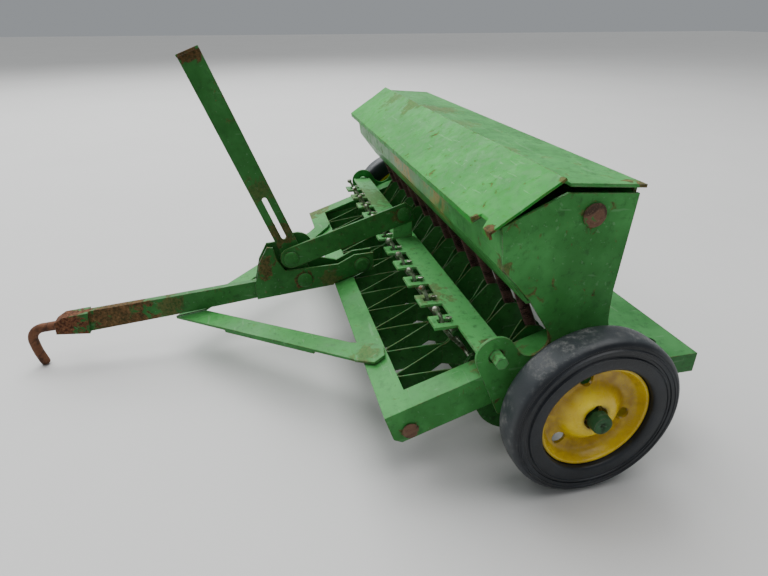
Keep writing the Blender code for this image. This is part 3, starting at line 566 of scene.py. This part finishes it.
def cut_rim(body, y, z, radius, side):
    """Cut a round hole through a rim, at a place measured from the axle."""
    shape = button(bmesh.new(), [(105.0, radius), (121.0, radius)], (y, WHEEL_R + z), side, 28)
    tool = mesh_object("rim_cutter", shape)
    step = body.modifiers.new("hole", "BOOLEAN")
    step.operation = "DIFFERENCE"
    step.solver = "EXACT"
    step.object = tool
    settle(body)
    bpy.data.objects.remove(tool, do_unlink=True)


def settle(piece):
    """Apply a piece's modifiers."""
    bpy.context.view_layer.update()
    deps = bpy.context.evaluated_depsgraph_get()
    mesh = bpy.data.meshes.new_from_object(piece.evaluated_get(deps))
    piece.modifiers.clear()
    piece.data = mesh
    mesh.shade_smooth()
    mesh.set_sharp_from_angle(angle=math.radians(38))


def axle(word, side):
    """Stub axle: a collar inside, and a slightly mushroomed end with a drilled dimple."""
    profile = [(98.8, 3.2), (98.8, 3.6), (100.4, 3.6), (100.4, 2.2), (102.0, 2.2), (102.0, 3.8),
               (107.9, 3.8), (108.0, 2.2), (118.5, 2.2), (118.6, 3.05), (118.9, 3.3), (121.7, 3.25),
               (122.25, 2.95), (122.4, 2.3), (122.3, 1.4), (122.0, 0.8), (121.6, 0.4)]
    shape = button(bmesh.new(), profile, (0.0, WHEEL_R), side, 48)
    new_piece(f"{word}_axle_metal", shape, axle_paint, "frame", [f"{word}_axle"])


def rivet_piece(name, centre, spans, material, body, node, side=1):
    shape = button(bmesh.new(), spans, centre, side, 44)
    for vert in shape.verts:
        shift = noise.noise_vector(vert.co * 0.7) * 0.10
        reach = Vector((0.0, vert.co.y - centre[0], vert.co.z - centre[1])).length
        if reach > spans[3][1] * 0.4:
            vert.co += Vector((shift.x, shift.y * 0.6, shift.z * 0.6)) * min(1.0, reach / 3.0)
    return new_piece(name, shape, material, body, [node])


def rivets():
    for word, side in (("left", 1), ("right", -1)):
        spans = [(97.7, 1.2), (97.7, 2.5), (98.4, 2.5), (98.4, 1.6), (101.9, 1.6), (101.92, 3.45),
                 (102.25, 3.65), (102.6, 3.5), (102.8, 3.0), (102.9, 2.0), (102.85, 1.0), (102.7, 0.4)]
        rivet_piece(f"{word}_hopper_rivet_head", HOPPER_RIVET, spans, rivet_rust, "frame",
                    f"{word}_hopper_rivet", side)
    wall, link = 3.4, 4.7
    for name, centre, outer, head, body, inner in (
            ("lever_pivot_rivet", LEVER_PIVOT, wall, 3.5, "frame", -3.4),
            ("link_front_rivet", LINK_FRONT, link, 3.3, "link", -0.9),
            ("link_rear_rivet", LINK_REAR, link, 3.3, "lift_gear", 1.8)):
        shank = 1.7
        spans = [(inner - 0.75, 0.8), (inner - 0.7, head - 0.5), (inner, head - 0.45), (inner, shank - 0.1),
                 (outer, shank - 0.1), (outer + 0.02, head - 0.1), (outer + 0.4, head),
                 (outer + 0.8, head - 0.35), (outer + 1.1, head - 1.2), (outer + 1.2, 1.0),
                 (outer + 1.15, 0.3)]
        rivet_piece(name + "_metal", centre, spans, rivet_green, body, name)


def opener_rod():
    head = 100.75
    spans = [(-head - 1.15, 0.4), (-head - 1.1, 1.6), (-head - 0.7, 2.6), (-head - 0.2, 2.8), (-head, 2.6),
             (-head + 0.02, 1.6), (head - 0.02, 1.6), (head, 2.6), (head + 0.2, 2.8), (head + 0.7, 2.6),
             (head + 1.1, 1.6), (head + 1.15, 0.4)]
    shape = button(bmesh.new(), spans, ROD, 1, 36)
    new_piece("opener_rod_metal", shape, rivet_rust, "frame", ["opener_rod"])


# ---------------------------------------------------------------- hitch

def hitch():
    points = [(0.0, -172.2, 19.55), (0.0, -178.0, 19.05), (0.0, -183.0, 18.55)]
    points += [(0.0, y, z) for y, z in arc((-187.6, 12.6), 5.6, 84, 184, 16)]
    points += [(0.0, -193.0, 9.6), (0.0, -192.6, 6.5), (0.0, -191.6, 2.6), (0.0, -191.1, 0.9),
               (0.0, -191.0, 0.45)]
    radii = [1.95] * (len(points) - 3) + [1.95, 1.8, 1.35]
    shape = sweep(bmesh.new(), points, radii, 20)
    for vert in shape.verts:
        if vert.co.z > 0.5:
            vert.co += noise.noise_vector(vert.co * 0.35) * 0.07
    new_piece("hitch_wire", shape, rust_metal, "frame", ["hitch_hook"], 45)


# ---------------------------------------------------------------- openers

def blade_side(shape, side, x):
    """One sheet of the blade: neck, lug and boot; the boot flares round the foot of the tube."""
    neck = [(-34.2, 23.6, 31.3), (-32.6, 23.2, 31.5), (-31.2, 22.8, 32.6)]
    lug = [(-29.4, 22.4, 36.3), (-28.5, 22.2, 36.8), (-27.5, 22.0, 36.3)]
    saddle = [(-25.4, 21.6, 32.4), (-24.0, 21.3, 32.0), (-21.5, 21.0, 33.6), (-18.0, 21.0, 36.8)]
    boot = [(-15.2, 21.0, 40.2), (-12.6, 21.0, 44.2), (-11.0, 21.0, 46.2), (-8.6, 21.0, 46.6),
            (-6.2, 21.0, 46.0), (-4.6, 21.0, 44.6), (-2.8, 21.0, 41.6), (-1.0, 21.0, 37.6), (0.6, 21.0, 34.0)]
    rows = []
    for y, base, top in neck + lug + saddle + boot:
        row = []
        for step in range(7):
            z = base + (top - base) * step / 6
            reach = max(0.0, min(1.0, (z - 36.0) / 7.0)) * max(0.0, 1.0 - abs(y + 8.4) / 7.5)
            row.append((x + side * (NECK_HALF + 2.15 * reach ** 0.8), y, z))
        rows.append(row)
    strip(shape, rows, 0.5)


def between(start, end, share):
    return start + (end - start) * share


def opener(number, x):
    """A folded fork that carries two embossed discs, a lifting lug and a boot round the seed tube."""
    shape = bmesh.new()
    for side in (-1, 1):
        foot = [(-56.0, 17.6), (-54.6, 16.8), (-51.8, 17.0), (-51.8, 26.6), (-55.4, 25.4)]
        slab(shape, foot, x + side * FORK_HALF, 0.7, 0.12)
        rows = []
        for step in range(9):
            share = step / 8
            bend = math.sin(math.pi * share) * 0.25
            y = between(FORK_FRONT, FORK_REAR, share)
            across = x + side * (between(FORK_HALF, NECK_HALF, share) + bend)
            top = between(26.2, 31.4, share)
            base = between(17.0, 23.4, share)
            rows.append([(across, y, base + (top - base) * level / 3) for level in range(4)])
        strip(shape, rows, 0.55)
        blade_side(shape, side, x)
        profile = [(0.25, 0.6), (0.8, 0.6), (0.95, 5.2), (1.45, 7.0), (1.5, 10.2), (1.0, 12.4),
                   (0.85, 16.4), (0.5, 17.3), (0.2, 17.45)]
        lathe(shape, [(x + side * along, radius) for along, radius in profile], DISC_CENTRE, 1, 44)
    new_piece(f"opener_{number:02d}_metal", shape, opener_paint, f"opener_{number:02d}",
              [f"opener_{number:02d}"], 30)


def tube_point(z):
    return (TUBE_FOOT[0] - (z - TUBE_FOOT[1]) * math.tan(TUBE_LEAN), z)


def seed_tube(number, x):
    """A close-wound coil spring round a dark core."""
    bottom, top = Vector((x, *tube_point(44.6))), Vector((x, *tube_point(60.8)))
    axis = (top - bottom).normalized()
    across = Vector((1.0, 0.0, 0.0))
    up = axis.cross(across)
    length = (top - bottom).length
    pitch, radius, gauge, grain = 0.86, 1.52, 0.36, 12
    count = int(length / pitch * grain)
    points = []
    for index in range(count):
        angle = math.tau * index / grain + number
        outward = across * math.cos(angle) + up * math.sin(angle)
        points.append(bottom + axis * (length * index / count) + outward * radius)
    shape = sweep(bmesh.new(), points, gauge, 6)
    sweep(shape, [bottom + axis * 0.2, bottom + axis * length * 0.5, top - axis * 0.2], 1.25, 10)
    piece = mesh_object(f"seed_tube_{number:02d}_spring", shape)
    piece.data.shade_smooth()
    piece.data.materials.append(spring_rust)
    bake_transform(piece)
    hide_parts(f"seed_tube_{number:02d}")


def hanger(number, x):
    """A headed wire through a tab's slot, with a cross wire through the lugs of two openers."""
    shape = bmesh.new()
    lean = -1.0
    run = [(x + lean * 1.3, -38.6, 49.6), (x + lean * 0.9, -37.4, 47.6), (x + lean * 0.4, -36.9, 45.6),
           (x, -35.9, 42.6), (x, -33.6, 39.4), (x, -30.9, 36.6), (x, *LUG)]
    sweep(shape, run, 0.72, 10)
    sweep(shape, [(x - 7.7, *LUG), (x, LUG[0], LUG[1] + 0.05), (x + 7.7, *LUG)], 0.72, 10)
    ball = bmesh.ops.create_uvsphere(shape, u_segments=20, v_segments=12, radius=1.35)
    for vert in ball["verts"]:
        vert.co.z *= 0.82
        vert.co += Vector((x + lean * 1.4, -38.9, 50.0))
    curl = [(x + 0.2 + 0.9 * math.cos(turn), -34.6 + 1.1 * math.sin(turn), 46.5 + 0.14 * turn)
            for turn in [math.tau * step / 14 for step in range(4, 16)]]
    sweep(shape, curl, 0.32, 8)
    new_piece(f"lift_hanger_{number:02d}_wire", shape, bright_metal, f"hanger_{number:02d}",
              [f"lift_hanger_{number:02d}"])


# ---------------------------------------------------------------- lid

def lid():
    """Thin lid panel with a slightly wavy surface, a turned-down lip and a torn near corner."""
    shape = bmesh.new()
    run = Vector((LID_FRONT[0] - RIDGE[0], LID_FRONT[1] - RIDGE[1]))
    columns = 90
    rows = []
    for index in range(columns + 1):
        x = -102.0 + 204.0 * index / columns
        row = []
        for step in range(9):
            share = step / 8
            swell = math.sin(math.pi * min(1.0, share * 1.1))
            wave = noise.noise(Vector((x * 0.022, share * 1.4, 3.0))) * 0.42 * swell
            wave += noise.noise(Vector((x * 0.09, share * 3.0, 9.0))) * 0.10
            y = RIDGE[0] + run.x * share
            z = RIDGE[1] + run.y * share + wave
            row.append((x, y, z))
        edge = row[-1]
        if 88.6 < x < 97.4:
            row[-1] = (x, edge[1] + 2.6, edge[2] + 1.7)
            row.append((x, edge[1] + 2.2, edge[2] + 0.9))
        else:
            row.append((x, edge[1] + 0.35, edge[2] - 1.7))
        rows.append(row)
    strip(shape, rows, 0.75)
    new_piece("front_lid_sheet", shape, lid_paint, "lid", ["front_lid"], 40)


# ---------------------------------------------------------------- CAD nodes that keep their shape

def dress():
    """Give the flat pressed parts, whose CAD shape is already right, their paint."""
    chosen = {"hopper": hopper_paint, "left_side_plate": side_paint, "right_side_plate": side_paint,
              "frame_tray": tray_paint, "rear_board": board_paint, "left_brace": brace_paint,
              "right_brace": brace_paint, "tongue": tongue_paint, "hand_lever": lever_paint,
              "lift_link": link_paint, "lift_bar": bar_paint}
    for name, material in chosen.items():
        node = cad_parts[name]
        node.data.materials.clear()
        node.data.materials.append(material)


# ---------------------------------------------------------------- stage

def stage():
    floor_shade = Shade("floor_pale")
    cloud = floor_shade.noise(6.0, 4.0, 0.6)
    colour = floor_shade.mix(rgb(0.52, 0.515, 0.50), rgb(0.58, 0.575, 0.56), cloud)
    material = floor_shade.finish(colour, 0.6)
    bpy.ops.mesh.primitive_plane_add(size=FLOOR_SIZE, location=(0.0, 0.0, 0.0))
    floor = bpy.context.object
    floor.name = "floor"
    floor.data.materials.append(material)


def lamp(name, location, target, size, power, colour=(1.0, 1.0, 1.0)):
    data = bpy.data.lights.new(name, "AREA")
    data.shape = "RECTANGLE"
    data.size, data.size_y = size
    data.energy = power
    data.color = colour
    made = bpy.data.objects.new(name, data)
    made.location = location
    made.rotation_euler = (Vector(target) - Vector(location)).to_track_quat("-Z", "Y").to_euler()
    bpy.context.scene.collection.objects.link(made)


def lights():
    world = bpy.data.worlds.new("studio")
    world.use_nodes = True
    background = world.node_tree.nodes["Background"]
    background.inputs["Color"].default_value = SKY_COLOUR
    background.inputs["Strength"].default_value = SKY_STRENGTH
    bpy.context.scene.world = world
    lamp("window", (-0.75, -0.25, 0.95), (0.0, 0.0, 0.05), (1.5, 1.2), 25.0, (0.97, 0.985, 1.0))
    lamp("ceiling", (0.0, 0.25, 1.2), (0.0, 0.0, 0.0), (1.4, 1.2), 6.0)
    lamp("fill", (0.95, -0.45, 0.55), (0.0, 0.0, 0.05), (0.6, 0.5), 0.6)
    data = bpy.data.lights.new("sun_fade_and_top_light", "SUN")
    data.energy = 1.2
    data.angle = math.radians(60)
    made = bpy.data.objects.new("sun_fade_and_top_light", data)
    made.rotation_euler = (math.radians(-12), math.radians(-6), 0.0)
    bpy.context.scene.collection.objects.link(made)


def camera():
    data = bpy.data.cameras.new("camera")
    data.sensor_width = CAMERA_SENSOR
    data.lens = CAMERA_LENS
    data.clip_start = 0.01
    made = bpy.data.objects.new("camera", data)
    made.location = place(*CAMERA_AT)
    level = math.cos(CAMERA_LIFT)
    back = Vector((math.sin(CAMERA_TURN) * level, -math.cos(CAMERA_TURN) * level, math.sin(CAMERA_LIFT)))
    made.rotation_euler = back.to_track_quat("Z", "Y").to_euler()
    bpy.context.scene.collection.objects.link(made)
    bpy.context.scene.camera = made


camera()
lights()
stage()
for word, side in (("left", 1), ("right", -1)):
    tyre(word, side)
    rim(word, side)
    axle(word, side)
rivets()
opener_rod()
hitch()
for number, x in enumerate(OPENERS, 1):
    opener(number, x)
    seed_tube(number, x)
for number, x in enumerate(TABS, 1):
    hanger(number, x)
lid()
dress()
bpy.context.view_layer.update()
